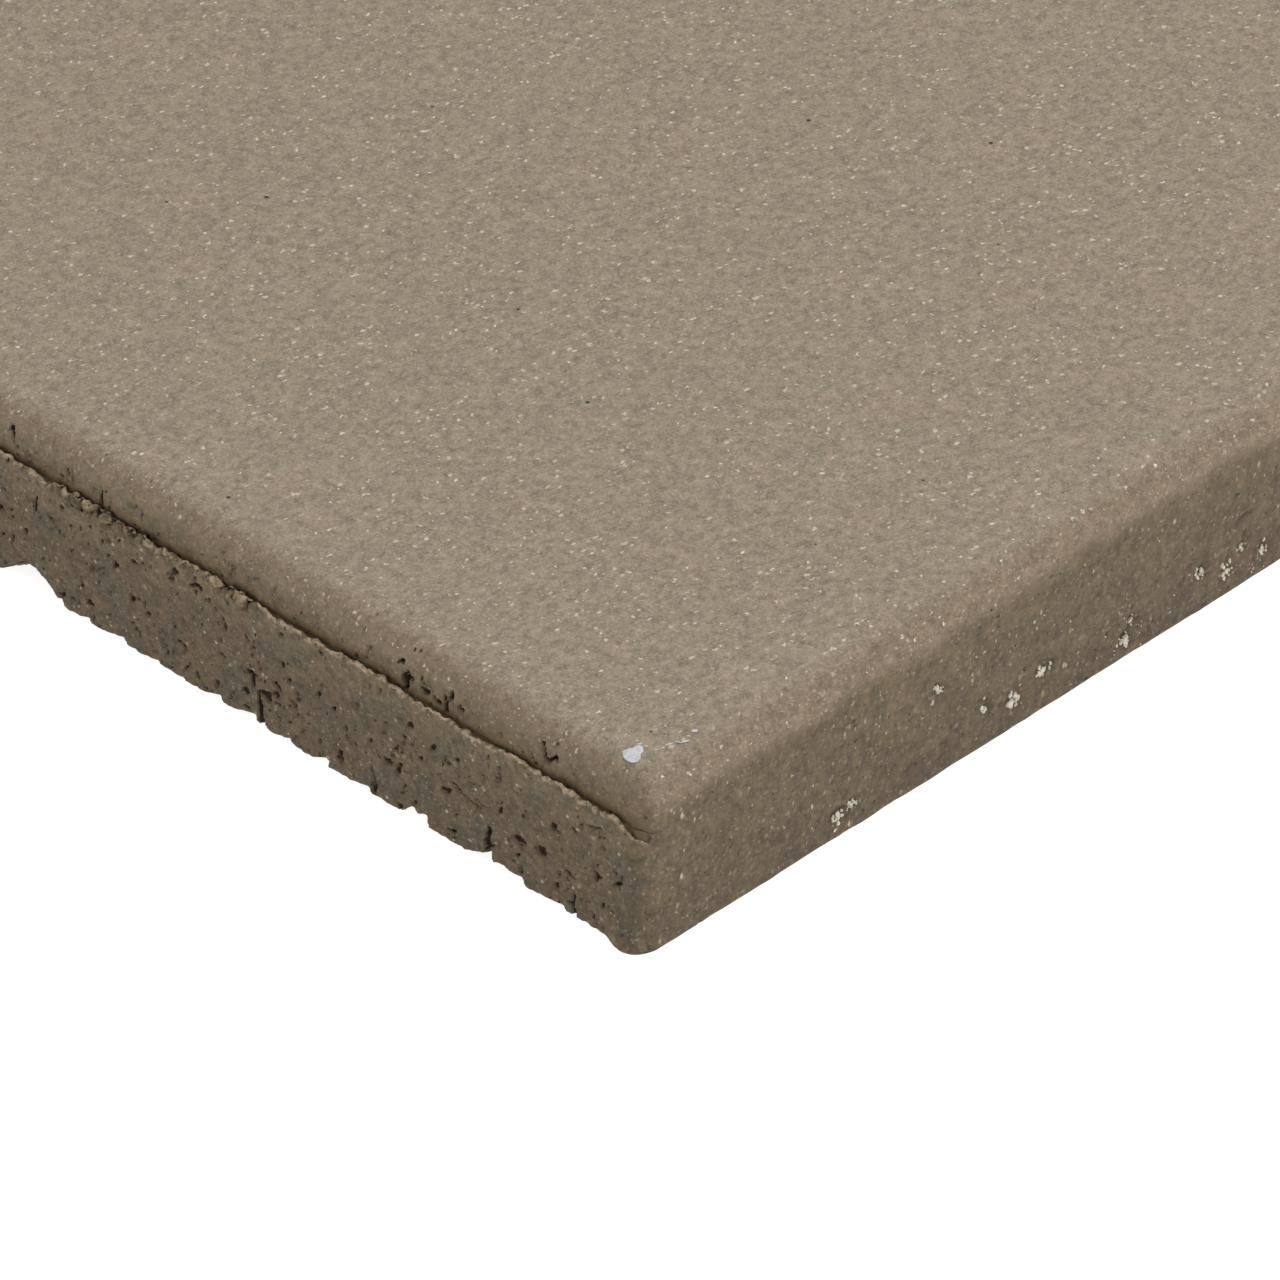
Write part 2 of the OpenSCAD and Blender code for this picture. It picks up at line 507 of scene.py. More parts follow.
def arrisLoss():
    # how high the lower arris is broken away at each station of the cut sides
    v = arrisValues
    places = alongSides(fromCorner, 700.0)
    wavy = fromCorner + 0.5 * lumps(places, 3.0, 12)
    loss = v["base"] + v["scallopRise"] * scallops(wavy + sideOf * 90, v["scallopLength"], 13)
    loss = loss + 0.3 * lumps(places, 1.3, 14)
    rng = np.random.default_rng(17)
    teeth = {0: list(arrisTeeth), 2: []}
    for side, place in ((0, 188.0), (2, 14.0)):
        while place < 390:
            length = v["toothLength"][0] + v["toothLength"][1] * rng.random()
            rise = v["toothHeight"][0] + v["toothHeight"][1] * rng.random() ** 2
            teeth[side].append((place, rise, length))
            place += length * (v["toothGap"][0] + v["toothGap"][1] * rng.random())
    for side, own in teeth.items():
        for place, height, length in own:
            d = (wavy - place) / length
            tooth = height * np.clip(1 - d, 0, 1) ** 1.2 * eased(d * length / 0.9 + 0.5)
            loss = np.where(sideOf == side, np.maximum(loss, tooth * (d > -0.2)), loss)
    for place, height, half in arrisBites:
        d = np.abs(wavy - place) / half
        loss = np.maximum(loss, height * (1 - np.clip(d, 0, 1) ** 2.2) + 0.2 * lumps(places, 1.1, 16))
    loss = loss * (1 - 0.85 * eased((alongOf - innerHalf + v["calm"]) / 5))
    return np.clip(loss, v["least"], v["most"])


def formedRelief(rings):
    # both layers take this on the formed sides, so that no joint shows there
    return coreValues["formedRelief"] * waves(rings, ((1, 26, 25), (0.4, 7, 26))) + 0.05


def sidePush(rings):
    # how far each point of the core's side goes in, and how deep in a mark it lies
    v = coreValues
    chips, rim = flakes(rings, v["flakeSize"], 101)
    small, smallRim = flakes(rings, v["smallFlakeSize"], 111)
    swell = waves(rings, v["swell"])
    swell = swell + v["flake"] * (chips * eased(rim / 0.25) + 0.45 * small * eased(smallRim / 0.3))
    swell = swell + v["grain"] * lumps(rings, 1.1, 24)
    push = 0.02 - swell * 0.8
    foot = eased(1 - np.abs(fromCorner - 5.2) / 6.5) * (sideOf == 0) * eased(1 - (rings[..., 2] - 1.0) / 9)
    crumb, between = crumbs(rings)
    push = push - v["footSwell"] * foot - crumb
    marks = np.maximum(between, 0)
    ragged = raggedness(rings, 27)
    for side in (0, 2):
        openCracks(marks, rings, side, fromNearCorner(bedCracks), ragged)
        carve(marks, rings, side, fromNearCorner(cutMarks), ragged)
        carve(marks, rings, side, scattered(31 + side, cutPits), ragged)
        carve(marks, rings, side, scattered(41 + side, cutNicks), ragged)
    formedMarks = np.zeros(rings.shape[:2])
    for side in (1, 3):
        carve(formedMarks, rings, side, chipPits, ragged)
        carve(formedMarks, rings, side, scattered(51 + side, formedPits), ragged)
        carve(formedMarks, rings, side, formedScars, ragged)
    push = (push + marks) * cut + (formedRelief(rings) + formedMarks) * (1 - cut)
    return push, marks * cut + 0.85 * formedMarks * (1 - cut)


def makeCore():
    v = coreValues
    skin = Skin()
    joint = slab["coreTop"]
    top = joint + burrLine()
    turning = eased((alongOf - innerHalf + 1.5) / 4.5) * onCutSide
    narrow = np.maximum(cut * (1 - 0.6 * turning), 0.1)
    rows = [(everywhere + d, everywhere) for d in v["bottomInsets"]]
    firstSide = len(rows)
    rows += [(everywhere, (top - 0.45 * cut) * u) for u in np.linspace(0, 1, v["rows"])]
    lastSide = len(rows)
    # the rolled top of the burr, then down behind it and in under the face layer
    thin = narrow * (0.72 + waves(flat, ((0.30, 1.6, 10), (0.22, 0.8, 11))))
    rows += [(inset * thin, top + rise * cut) for inset, rise in v["burrRoll"]]
    meeting = 1.4 * narrow * (1 - turning) + np.maximum(1.25 * cut, 0.1) * turning
    under = joint - 0.05
    rows += [(1.22 * narrow, np.minimum(top - 0.3 * cut, joint - 0.05 * cut)), (meeting, everywhere + under)]
    rows += [(everywhere + inset, everywhere + under) for inset in (2.6, 3.8, 6.0)]
    insets = np.stack([r[0] for r in rows])
    heights = np.stack([r[1] for r in rows])

    # break the lower arris: points within the loss slide onto a slope
    worn = v["arrisRadius"] * (0.9 + waves(flat, ((0.35, 9, 15), (0.5, 3.2, 18))))
    high = arrisLoss() * cut + np.maximum(worn, 0.15) * (1 - cut)
    deep = high * (1 + 0.35 * cut)
    below = (heights == 0) & (insets > 0) & (insets < deep)
    arris = (insets == 0) & (heights < high) | below
    t = np.clip(np.where(below, high + insets, high - heights) / (high + deep), 0, 1)
    bulge = np.sin(np.pi * t) * 0.2 * (1 - cut) * high
    insets = np.where(arris, t * deep - bulge, insets)
    heights = np.where(arris, (1 - t) * high - bulge, heights)

    rings = np.stack([ring(i, h) for i, h in zip(insets, heights)])
    push, marks = sidePush(rings)
    fade = np.zeros(len(rows))
    fade[firstSide:lastSide] = 1
    fade[:firstSide] = np.clip(1 - np.array(v["bottomInsets"]) / 5.0, 0, 1)
    fade[lastSide:lastSide + 6] = (0.9, 0.7, 0.5, 0.35, 0.2, 0.1)
    # the burr leans out a little and its rim is ragged
    lean = 0.28 * cut * eased((heights - joint + 1.8) / 1.8) * (fade[:, None] > 0)
    push = push * fade[:, None] - lean * (waves(rings, ((0.5, 4.0, 61), (1.1, 1.3, 63))) + 0.7)
    push = np.maximum(push, -v["mostOut"])
    rings[..., :2] -= outward * push[..., None]
    row = np.arange(len(rows))[:, None]
    crest = cut * ((row >= lastSide) & (row < lastSide + 5))
    rings[..., 2] += crest * waves(rings, ((0.26, 0.9, 64), (0.2, 1.9, 65)))
    rough = arris * cut * 0.25 * lumps(rings, 1.4, 62)
    rings[..., 2] = np.maximum(rings[..., 2] + rough, 0.0)

    index = [skin.add(r) for r in rings]
    skin.band(index, 0)
    skin.lid(index[0], 6, 10, 0.0, 1, False)
    skin.lid(index[-1], 12, 40, under, 2, True)
    behind = row > lastSide + 4
    nearTop = eased(1 - np.abs(heights - top - 0.1) / 1.25) * (heights > joint - 4) * ~behind
    attributes = {
        "cutFace": np.broadcast_to(cut, rings.shape[:2]),
        # how deep each carved mark is, for the painted shade inside it
        "hollowShade": np.clip(marks / 0.95, 0, 1),
        # where the painted highlight on the crest of the burr goes
        "burr": cut * nearTop,
        "ochre": crumbling() * eased(1 - np.abs(heights - top + 0.6) / 2.4),
        # painted shade: the rows behind the burr, in the gap at the joint, are drawn dark brown
        "jointShade": 1.3 * behind * eased((cut - 0.5) / 0.45),
    }
    return skin, attributes, sideMap(len(rows), 0.115, 0.5, (0.01, 0.49))


faceValues = {
    "edgeRows": 28,  # rows round the rounded edge
    "topStep": 2.0,  # grid on the wearing face
    "topSwell": 0.10,
    "sink": 0.12,  # keeps the swelling top inside the solid
    "edgeSwell": ((0.16, 16, 73), (0.05, 4, 74)),  # height, size, seed
    "crease": 8.0,  # degrees that the rounding starts at on the formed sides, where it shows as a crease
    "creaseWander": ((0.7, 19, 79), (0.3, 7, 80)),
    "groove": 0.12,  # how far its side goes in behind the burr
    "cutSwell": ((0.10, 2.2, 75), (0.07, 1.0, 76)),
    "blend": 5,  # height over which the formed sides leave the relief that they share with the core
}
# Tears in the rounded edge above a cut side: distance from the near corner, height, half-width, half-height,
# lean, depth
shoulderTears = [
    (179, 34.2, 0.6, 1.9, 12, 1.5), (153, 31.8, 0.5, 1.5, 0, 1.2), (66.4, 31.4, 0.95, 2.3, 4, 2.4),
    (65.2, 33.4, 0.6, 1.2, 30, 1.8), (60.2, 31.6, 1.5, 0.7, 24, 1.5), (57.4, 30.8, 2.2, 0.6, -12, 1.4),
    (54.8, 31.4, 0.7, 2.2, 10, 1.9), (53.6, 33.8, 0.5, 2.0, -14, 1.9), (27.8, 34.0, 0.5, 1.9, 14, 1.7),
    (26.0, 33.2, 0.45, 1.9, -42, 1.6), (28.8, 35.4, 0.5, 0.8, 60, 1.2), (24.8, 34.2, 0.4, 1.0, 10, 1.1),
    (163, 33.4, 0.4, 1.0, 10, 0.8), (141, 33.6, 0.4, 0.9, -20, 0.8), (143, 34.4, 0.5, 0.5, 0, 0.7),
    (118, 35.6, 0.5, 0.5, 0, 0.7), (50.5, 32.0, 0.9, 0.6, 0, 0.9), (236, 33.0, 0.7, 1.9, -8, 1.4),
    (287, 32.6, 0.9, 2.1, 12, 1.6), (331, 33.5, 0.6, 1.5, -18, 1.2)]
shoulderNicks = {"count": 60, "along": (-190, 190), "heights": (31, 37), "halfWidth": (0.3, 0.5),
                 "depth": (0.3, 0.8), "stretch": 2.5, "lowBias": 1.6}


def topSwell(points):
    return faceValues["topSwell"] * (lumps(points, 55, 71) + 0.35 * lumps(points, 14, 72))


def makeFace():
    v = faceValues
    skin = Skin()
    joint = slab["coreTop"]
    start = slab["top"] - slab["edgeRadius"]
    base = slab["step"] * cut
    first = np.radians(v["crease"]) * (1 - cut)
    radius = slab["edgeRadius"] / (1 - np.sin(first))
    rows = [(base + v["groove"] * cut + more, everywhere + joint, everywhere) for more in (4.0, 1.2)]
    for z in np.linspace(joint, start, 9)[:-1]:
        recess = v["groove"] * cut * (1 - (z - joint) / (start - joint)) ** 1.6
        rows.append((base + recess, everywhere + z, everywhere))
    for q in np.linspace(0, 1, v["edgeRows"]):
        angle = first + (math.pi / 2 - first) * q
        inset = base + radius * (np.cos(first) - np.cos(angle))
        rows.append((inset, start + radius * (np.sin(angle) - np.sin(first)), angle))
    insets, heights, angles = (np.stack([r[k] for r in rows]) for k in range(3))
    rings = np.stack([ring(i, h) for i, h in zip(insets, heights)])

    roughCut = waves(rings, v["cutSwell"]) + 0.2
    roughCut = roughCut * eased(1 - angles / 0.9)
    ragged = raggedness(rings, 77)
    marks = np.zeros(rings.shape[:2])
    narrowTears = [(along, z, wide * 0.8, *rest) for along, z, wide, *rest in fromNearCorner(shoulderTears)]
    for side in (0, 2):
        carve(marks, rings, side, narrowTears, ragged)
        carve(marks, rings, side, scattered(81 + side, shoulderNicks), ragged)
    settle = eased((heights - joint) / v["blend"])
    push = formedRelief(rings) * (1 - settle) * (1 - cut)
    push = push + waves(rings, v["edgeSwell"]) * settle * np.cos(angles)
    push = push + roughCut * cut + marks * cut
    push[:2] = 0
    inPlan = rings * (1, 1, 0)
    # the crease wanders up and down
    wander = np.exp(-((heights - start) / 1.6) ** 2) * (1 - cut) * (heights > joint)
    rings[..., 2] += wander * waves(inPlan, v["creaseWander"])
    rings[..., :2] -= outward * push[..., None] * np.cos(angles)[..., None]
    rings[..., 2] -= push * np.sin(angles) * 0.8
    rings[..., 2] += (topSwell(rings) - v["sink"]) * np.sin(angles) ** 2

    def swollen(points):
        points[:, 2] += topSwell(points) - v["sink"]
        return points

    index = [skin.add(r) for r in rings]
    skin.band(index, 0)
    skin.lid(index[0], 12, 40, joint, 2, False)
    skin.lid(index[-1], 1.2, v["topStep"], slab["top"], 1, True, swollen)
    onTop, bank = np.ones(skin.count), np.ones(skin.count)
    inPlan = rings * (1, 1, 0)
    wave = (0.5 + 0.7 * (1 - cut)) * lumps(inPlan, 15, 83) + 0.5 * lumps(inPlan, 5, 84)
    ringBank = eased((heights + wave - start + 1.6 - 0.5 * cut) / (4.6 + 3.8 * cut))
    onTop[: heights.size] = (np.sin(angles) ** 1.5 * (heights > start)).ravel()
    bank[: heights.size] = ringBank.ravel()
    attributes = {
        "cutFace": np.broadcast_to(cut, rings.shape[:2]),
        "onTop": onTop,  # 1 on the flat of the wearing face
        "bank": bank,  # 1 from the rounding upwards
        # how deep each tear is, for the painted shade inside it
        "hollowShade": np.clip(marks * cut / 1.2, 0, 1),
        # painted shade: the foot of the face layer's cut side, just above the joint, is drawn dark brown
        "jointShade": cut * eased(1 - (heights - joint - 0.8) / 3.2),
    }
    return skin, attributes, sideMap(len(rows), 0.03, 0.85, (0.01, 0.145))


class Nodes:
    # a short way to write a node tree
    def __init__(self, name):
        self.material = bpy.data.materials.new(name)
        self.material.use_nodes = True
        self.tree = self.material.node_tree
        self.tree.nodes.clear()

    def put(self, kind, inputs=None, **settings):
        node = self.tree.nodes.new(kind)
        for key, value in settings.items():
            setattr(node, key, value)
        for key, value in (inputs or {}).items():
            if isinstance(value, bpy.types.NodeSocket):
                self.tree.links.new(value, node.inputs[key])
            else:
                node.inputs[key].default_value = value
        return node

    def math(self, operation, a, b=0.0, c=0.0):
        return self.put("ShaderNodeMath", {0: a, 1: b, 2: c}, operation=operation).outputs[0]

    def times(self, a, b):
        return self.math("MULTIPLY", a, b)

    def vector(self, operation, a, b):
        inputs = {0: a, "Scale": b} if operation == "SCALE" else {0: a, 1: b}
        return self.put("ShaderNodeVectorMath", inputs, operation=operation).outputs[0]

    def mix(self, share, a, b, blend="MIX"):
        node = self.put("ShaderNodeMix", {0: share, 6: a, 7: b}, data_type="RGBA", blend_type=blend)
        return node.outputs[2]

    def shade(self, look, value):
        # a colour made lighter or darker
        grey = self.put("ShaderNodeCombineColor", {0: value, 1: value, 2: value}).outputs[0]
        return self.mix(1.0, look, grey, "MULTIPLY")

    def between(self, value, low, high, outLow=0.0, outHigh=1.0, kind="SMOOTHSTEP"):
        inputs = {0: value, 1: low, 2: high, 3: outLow, 4: outHigh}
        return self.put("ShaderNodeMapRange", inputs, interpolation_type=kind).outputs[0]

    def noise(self, place, scale, detail=2.0, rough=0.5, output=0):
        inputs = {"Vector": place, "Scale": scale, "Detail": detail, "Roughness": rough}
        return self.put("ShaderNodeTexNoise", inputs).outputs[output]

    def coords(self):
        return self.put("ShaderNodeTexCoord").outputs["Object"]

    def attribute(self, name):
        return self.put("ShaderNodeAttribute", attribute_name=name).outputs["Fac"]

    def finish(self, inputs, bumpHeight=None):
        if bumpHeight is not None:
            bump = self.put("ShaderNodeBump", {"Strength": 1.0, "Distance": mm, "Height": bumpHeight})
            inputs["Normal"] = bump.outputs[0]
        shader = self.put("ShaderNodeBsdfPrincipled", inputs)
        self.put("ShaderNodeOutputMaterial", {"Surface": shader.outputs[0]})
        return self.material


def colour(r, g, b):
    # a colour given as it looks on screen, from 0 to 255
    def linear(c):
        c = c / 255
        return c / 12.92 if c <= 0.04045 else ((c + 0.055) / 1.055) ** 2.4
    return (linear(r), linear(g), linear(b), 1.0)


mixValues = {
    "topGround": colour(147, 134, 115),
    "topWarm": colour(151, 135, 116),
    "bankGround": colour(130, 113, 94),
    "formedGround": colour(96, 81, 59),
    "cutGround": colour(94, 80, 61),
    "cutCool": colour(85, 77, 60),
    "cutWarm": colour(100, 82, 61),
    # painted highlight: the crest of the burr is drawn pale, as if lit from above
    "crest": colour(178, 158, 132),
    "crumb": colour(146, 120, 82),
    # painted shade inside pits and holes
    "holeShade": colour(34, 21, 9),
    # painted shade along the joint between the layers, dark brown
    "jointShade": colour(108, 86, 58),
    "speck": colour(172, 158, 136),
    "dash": colour(176, 165, 140),
    "roughest": 0.70,
    "smoothest": 0.52,
    "lighterHigh": (0.018, 0.026, 1.0, 1.22),  # lighter towards the burr: two heights in metres and the shade at each
    "bedShade": (0.0, 0.030, 0.76, 1.04),  # painted shade, darker towards the bed
}
# Patches cut out of noise: how fine, its detail and roughness, the levels cut between, and the values there
patchValues = {
    "warmTop": (70.0, 3.0, 0.6, 0.42, 0.68),
    "coolSide": (110.0, 3.0, 0.6, 0.46, 0.60),
    "warmSide": (170.0, 4.0, 0.65, 0.54, 0.70),
    "smudge": (120.0, 3.0, 0.65, 0.36, 0.64, 0.86, 1.12),
    "brokenCrest": (520.0, 3.0, 0.7, 0.38, 0.60, 0.08, 1.0),
    "crumbly": (600.0, 2.0, 0.5, 0.52, 0.64),
    "flurry": (115.0, 2.0, 0.5, 0.53, 0.62),
    "pits": (420.0, 4.0, 0.75, 0.375, 0.33),
    "pocks": (520.0, 3.0, 0.7, 0.35, 0.31),
    "wear": (700.0, 2.0, 0.5, 0.3, 0.7),
    "veins": (900.0, 4.0, 0.65, 0.40, 0.68),
}
# Sorts of grain: how fine, share of the cells that hold one, radius, and where in it its rim begins
grainSorts = {
    "sand": (1250.0, 0.50, 0.46, 0.5),
    "grit": (700.0, 0.30, 0.38, 0.5),
    "stone": (330.0, 0.16, 0.36, 0.3),
    "dusk": (760.0, 0.16, 0.40, 0.2),
    # painted glints: small bright dots drawn into the colour
    "paintedGlint": (900.0, 0.12, 0.34, 0.35),
    "speck": (720.0, 0.20, 0.36, 0.3),
    "dash": (680.0, 0.62, 0.38, 0.35),
    "pinhole": (150.0, 0.10, 0.085, 0.6),
}
# The sand and grit in each look: colours, how strong each sort of grain is, and its size and crispness
topGrain = {
    "pale": colour(198, 187, 166),
    "rose": colour(178, 154, 132),
    "glintColour": colour(214, 205, 186),
    "dusky": colour(118, 106, 88),
    "mottle": 1.2, "fine": 1.1, "sand": 0.30, "grit": 1.2, "stone": 0.45, "paintedGlint": 1.8, "dusk": 0.6,
    "bump": 0.055, "size": 1.0, "crisp": 0.45,
}
sideGrain = {
    "pale": colour(146, 131, 111),
    "rose": colour(136, 114, 92),
    "glintColour": colour(176, 168, 150),
    "dusky": colour(62, 51, 38),
    "mottle": 1.45, "fine": 0.9, "sand": 0.34, "grit": 0.9, "stone": 0.26, "paintedGlint": 1.0, "dusk": 1.2,
    "bump": 0.09, "size": 1.4, "crisp": 0.1,
}


def patches(n, place, kind, *values):
    # soft-edged patches, or a value that drifts between two
    scale, detail, rough, *levels = patchValues[kind]
    return n.between(n.noise(place, scale, detail, rough), *levels, *values)


def grains(n, place, sort, coarser=1.0, crisp=None):
    # round grains of random size: mask, and a random number for each grain
    scale, share, radius, soft = grainSorts[sort]
    soft = soft if crisp is None else crisp
    inputs = {"Vector": place, "Scale": scale / coarser, "Randomness": 1.0}
    cell = n.put("ShaderNodeTexVoronoi", inputs, feature="F1")
    pick = n.put("ShaderNodeSeparateColor", {0: cell.outputs["Color"]})
    size = n.math("MULTIPLY_ADD", pick.outputs[1], radius * 0.7, radius * 0.45)
    fromRim = n.between(cell.outputs["Distance"], n.times(size, soft), size, 1.0, 0.0)
    there = n.math("LESS_THAN", pick.outputs[0], share)
    return n.times(fromRim, there), pick.outputs[2]


def grainLook(n, coords, ground, v):
    # the mix of sand and grit over a ground colour, for one stretch of coordinates: colour and height in mm
    bend = n.noise(coords, 1300.0, 1.0, 0.5, "Color")
    bend = n.vector("SCALE", n.vector("SUBTRACT", bend, (0.5, 0.5, 0.5)), 0.0013)
    place = n.vector("ADD", coords, bend)
    size = v["size"]
    mottle = n.noise(coords, 560.0 / size, 3.0, 0.62)
    fine = n.noise(coords, 2000.0 / size, 2.0, 0.6)
    shade = n.math("MULTIPLY_ADD", n.math("SUBTRACT", mottle, 0.5), v["mottle"], 1.0)
    shade = n.math("MULTIPLY_ADD", n.math("SUBTRACT", fine, 0.5), v["fine"], shade)
    look = n.shade(ground, shade)
    sand = grains(n, place, "sand", size)[0]
    grit, gritPick = grains(n, place, "grit", size, v["crisp"])
    stone = grains(n, place, "stone")[0]
    dusk, duskPick = grains(n, place, "dusk", size)
    paintedGlint, paintedGlintPick = grains(n, place, "paintedGlint")
    look = n.mix(n.times(sand, v["sand"]), look, v["pale"])
    look = n.mix(n.times(grit, n.times(gritPick, v["grit"])), look, v["pale"])
    look = n.mix(n.times(stone, v["stone"]), look, v["rose"])
    look = n.mix(n.times(dusk, n.times(duskPick, v["dusk"])), look, v["dusky"])
    # painted glints: bright dots drawn into the colour as highlights
    look = n.mix(n.times(paintedGlint, n.times(paintedGlintPick, v["paintedGlint"])), look, v["glintColour"])
    height = n.times(fine, v["bump"])
    height = n.math("MULTIPLY_ADD", mottle, v["bump"] * 1.6, height)
    height = n.math("MULTIPLY_ADD", sand, 0.02, height)
    height = n.math("MULTIPLY_ADD", grit, 0.03, height)
    return look, height


def topConcrete(n, coords, onTop):
    # wearing face and its rounded edge, with the grains drawn out across the slab
    v = mixValues
    ground = n.mix(patches(n, coords, "warmTop"), v["topGround"], v["topWarm"])
    ground = n.mix(n.between(onTop, 0.62, 1.06, 1.0, 0.0), ground, v["bankGround"])
    return grainLook(n, n.vector("MULTIPLY", coords, (1.0, 0.8, 1.0)), ground, topGrain)


def sideConcrete(n, coords, cutSide, formedSide):
    v = mixValues
    height = n.put("ShaderNodeSeparateXYZ", {0: coords}).outputs[2]
    cutColour = n.mix(patches(n, coords, "coolSide"), v["cutGround"], v["cutCool"])
    cutColour = n.mix(n.times(patches(n, coords, "warmSide"), 0.8), cutColour, v["cutWarm"])
    # the cut sides are drawn lighter towards the burr
    cutColour = n.shade(cutColour, n.between(height, *v["lighterHigh"]))
    # painted shade: the formed sides are drawn darker towards the bed
    bedShade = n.between(height, *v["bedShade"], "LINEAR")
    formedColour = n.shade(v["formedGround"], n.times(bedShade, patches(n, coords, "smudge")))
    look, relief = grainLook(n, coords, n.mix(cutSide, formedColour, cutColour), sideGrain)
    # painted highlight along the crest of the burr, in broken stretches
    look = n.mix(n.times(n.attribute("burr"), patches(n, coords, "brokenCrest")), look, v["crest"])
    specks, speckPick = grains(n, coords, "speck")
    look = n.mix(n.times(specks, n.times(cutSide, speckPick)), look, v["speck"])
    crumbly = n.times(patches(n, coords, "crumbly"), 0.55)
    look = n.mix(n.times(n.attribute("ochre"), crumbly), look, v["crumb"])
    # flurries of pale dashes on the formed sides
    dashes = grains(n, n.vector("MULTIPLY", coords, (1.0, 1.0, 0.55)), "dash")[0]
    dashes = n.times(dashes, patches(n, coords, "flurry"))
    look = n.mix(n.times(dashes, n.times(formedSide, 0.95)), look, v["dash"])
    return look, relief


def slabMaterial(name):
    v = mixValues
    n = Nodes(name)
    coords = n.coords()
    cutFace, onTop, bank, hollowShade, jointShade = (
        n.attribute(k) for k in ("cutFace", "onTop", "bank", "hollowShade", "jointShade"))
    cutSide = n.times(cutFace, n.between(bank, 0.0, 0.5, 1.0, 0.0))
    formedSide = n.math("SUBTRACT", 1.0, n.math("MAXIMUM", cutFace, bank))
    topLook, topHeight = topConcrete(n, coords, onTop)
    sideLook, sideHeight = sideConcrete(n, coords, cutSide, formedSide)
    look = n.mix(bank, sideLook, topLook)
    # painted shade along the joint between the layers
    look = n.mix(n.times(jointShade, 0.45), look, v["jointShade"])

    # painted shade in holes: small pits in the sides, a few pinholes, and the marks in the mesh with a torn
    # rim are drawn near black
    pits = n.times(patches(n, coords, "pits"), cutSide)
    pocks = n.times(patches(n, coords, "pocks"), formedSide)
    pits = n.math("MAXIMUM", pits, n.times(pocks, 0.8))
    pinholes = grains(n, coords, "pinhole")[0]
    torn = n.math("MULTIPLY_ADD", n.math("SUBTRACT", n.noise(coords, 800.0, 3.0, 0.7), 0.5), 0.9, hollowShade)
    dark = n.math("MAXIMUM", n.times(pinholes, 0.9), n.math("MAXIMUM", pits, n.between(torn, 0.30, 0.80)))
    look = n.mix(n.times(dark, 0.93), look, v["holeShade"])

    relief = n.put("ShaderNodeMix", {0: bank, 2: sideHeight, 3: topHeight}, data_type="FLOAT").outputs[0]
    craggy = n.times(n.noise(coords, 450.0, 5.0, 0.7), n.times(cutSide, 0.55))
    relief = n.math("MULTIPLY_ADD", dark, -0.3, n.math("ADD", relief, craggy))
    roughness = patches(n, coords, "wear", v["smoothest"], v["roughest"])
    roughness = n.math("MULTIPLY_ADD", cutSide, 0.2, roughness)
    return n.finish({"Base Color": look, "Roughness": roughness, "Specular IOR Level": 0.3}, relief)


def chipMaterial(name, light, veined, rough):
    n = Nodes(name)
    coords = n.coords()
    tone = n.mix(patches(n, coords, "veins"), light, veined)
    return n.finish({"Base Color": tone, "Roughness": rough}, n.times(n.noise(coords, 1500.0, 3.0), 0.08))


def roundBody():
    # the points and faces that every chip is shaped from
    shape = bmesh.new()
    bmesh.ops.create_icosphere(shape, subdivisions=3, radius=1.0)
    points = np.array([v.co[:] for v in shape.verts])
    faces = [[v.index for v in f.verts] for f in shape.faces]
    shape.free()
    return points, faces


ball = roundBody()


def shard(centre, out, ahead, wide, tall, thick, lean, seed):
    # one irregular chip of stone lying in the surface: points and faces
    points, faces = ball
    swell = 1 + 0.30 * lumps(points + seed * 3.1, 0.9, 91) + 0.16 * lumps(points + seed * 5.3, 0.4, 92)
    points = points * swell[:, None]
    c, s = math.cos(lean), math.sin(lean)
    a, b = points[:, 0] * wide, points[:, 1] * tall
    a, b = a * c - b * s, a * s + b * c
    out, ahead = np.array(out, float), np.array(ahead, float)
    across = np.cross(out, ahead)
    rise = np.tanh(points[:, 2] * 1.6) * thick
    place = np.array(centre, float) + a[:, None] * ahead + b[:, None] * across + rise[:, None] * out
    return place, faces


def joinShards(name, shards, material):
    points, faces, count = [], [], 0
    for place, own in shards:
        points.append(place)
        faces += [[i + count for i in f] for f in own]
        count += len(place)
    mesh = bpy.data.meshes.new(name)
    mesh.from_pydata((np.concatenate(points) * mm).tolist(), [], faces)
    print(name, "has", len(shards), "pieces of stone")
    return linkPiece(name, mesh, material)


sideChipValues = {
    "shards": 14,  # in each chip, and the first of them are the largest
    "large": 2,
    "spread": 0.60,  # share of the chip's radius
    "crumbs": 5,  # loose ones round about
    "crumbSpread": 4.5,
    "sunk": 0.36,  # how far a shard's middle lies behind the side
    "crumbSunk": 0.30,
    "lowest": 1.6,
}


def makeSideChips(material):
    v = sideChipValues
    rng = np.random.default_rng(7)
    shards = []

    def addShard(turn, sunk, along, height, size, stretch, thick):
        centre = (turn * (slab["halfX"] - sunk), turn * (along - slab["halfY"]), height)
        shards.append(shard(centre, (turn, 0, 0), (0, turn, 0), size * 0.8, size * stretch, thick,
                            rng.normal(0, 0.45), rng.random() * 40))

    for turn in (1, -1):
        for along, height, radius in sideChips:
            for k in range(v["shards"]):
                da, dz = rng.normal(0, radius * v["spread"], 2)
                size = radius * (0.10 + 0.18 * rng.random())
                if k < v["large"]:
                    da, dz, size = da * 0.6, dz * 0.5, radius * (0.26 + 0.2 * rng.random())
                addShard(turn, v["sunk"], along + da, height + dz, size, 1.3, 0.34)
            for k in range(v["crumbs"]):
                da, dz = rng.normal(0, v["crumbSpread"], 2) * (1, 0.6)
                size = 0.16 + 0.3 * rng.random() ** 2
                addShard(turn, v["crumbSunk"], along + da, max(v["lowest"], height + dz), size, 1.5, 0.26)
    return joinShards("white_side_chips", shards, material)


